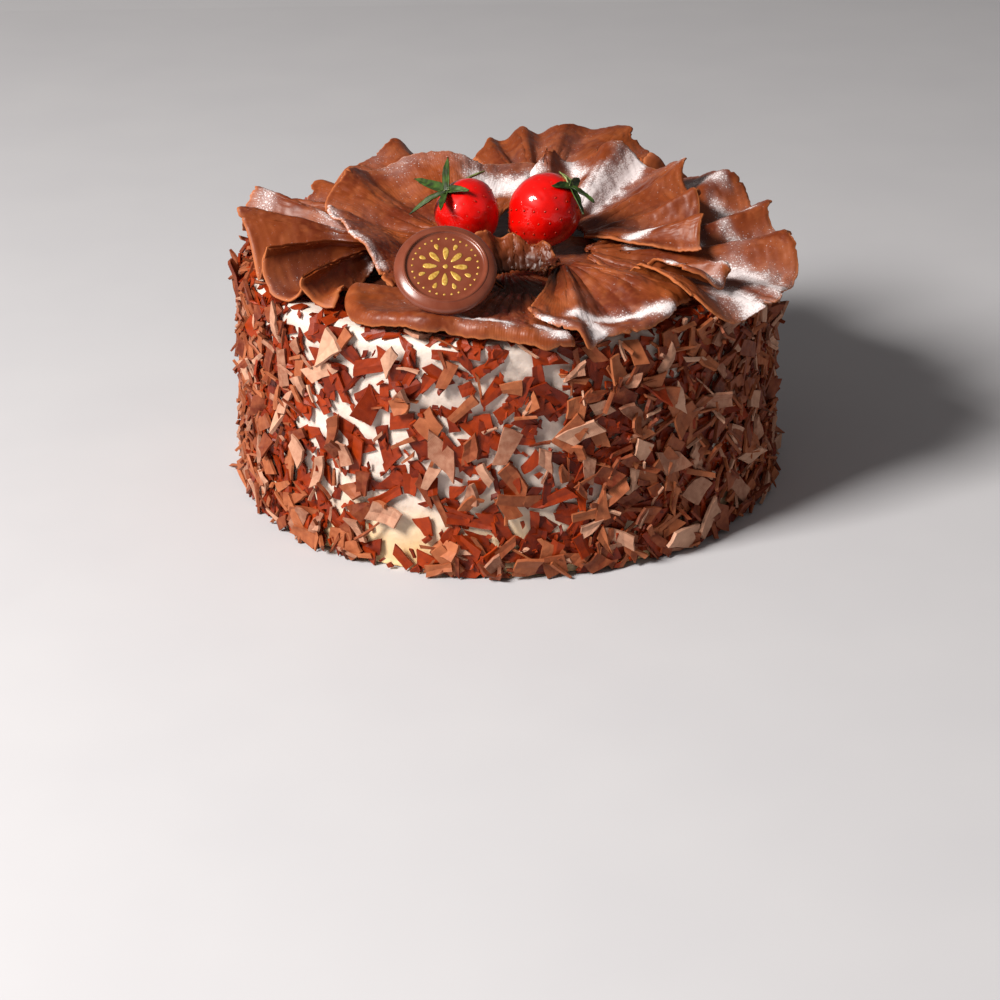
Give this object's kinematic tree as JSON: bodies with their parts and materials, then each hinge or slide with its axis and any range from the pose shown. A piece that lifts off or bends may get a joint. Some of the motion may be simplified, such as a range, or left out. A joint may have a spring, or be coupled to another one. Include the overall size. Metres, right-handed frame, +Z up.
{
  "type": "black forest cake",
  "caption": "Round whole black forest cake coated in cream and chocolate flakes, topped with gathered chocolate ruffles, glazed strawberries and a round chocolate plaque.",
  "frame": {"origin": "middle of the cake's flat base", "axes": "+Z up, -Y towards the front, where the plaque leans, +X to the right seen from the front"},
  "size_m": [0.2059, 0.2044, 0.1246],
  "materials": {
    "flaked_cream": "soft whipped cream covered in chocolate flakes",
    "ruffle_chocolate": "satin milk chocolate dusted with icing sugar",
    "plaque_chocolate": "smooth moulded chocolate with a gold ornament",
    "glazed_berry": "wet clear glaze over red fruit",
    "berry_leaf": "matt green leaf"
  },
  "bodies": {
    "root": {"cake": "flaked_cream", "ruffle_middle": "ruffle_chocolate", "ruffle_back": "ruffle_chocolate", "ruffle_back_left": "ruffle_chocolate", "ruffle_far_left": "ruffle_chocolate", "ruffle_back_right": "ruffle_chocolate", "ruffle_front_left": "ruffle_chocolate", "ruffle_left": "ruffle_chocolate", "ruffle_front": "ruffle_chocolate", "ruffle_right": "ruffle_chocolate", "ruffle_fold": "ruffle_chocolate", "ruffle_inner_left": "ruffle_chocolate", "ruffle_inner_right": "ruffle_chocolate", "ruffle_curl": "ruffle_chocolate", "plaque": "plaque_chocolate", "berry_left": "glazed_berry", "berry_right": "glazed_berry", "leaves_left": "berry_leaf", "leaves_right": "berry_leaf"}
  },
  "joints": []
}
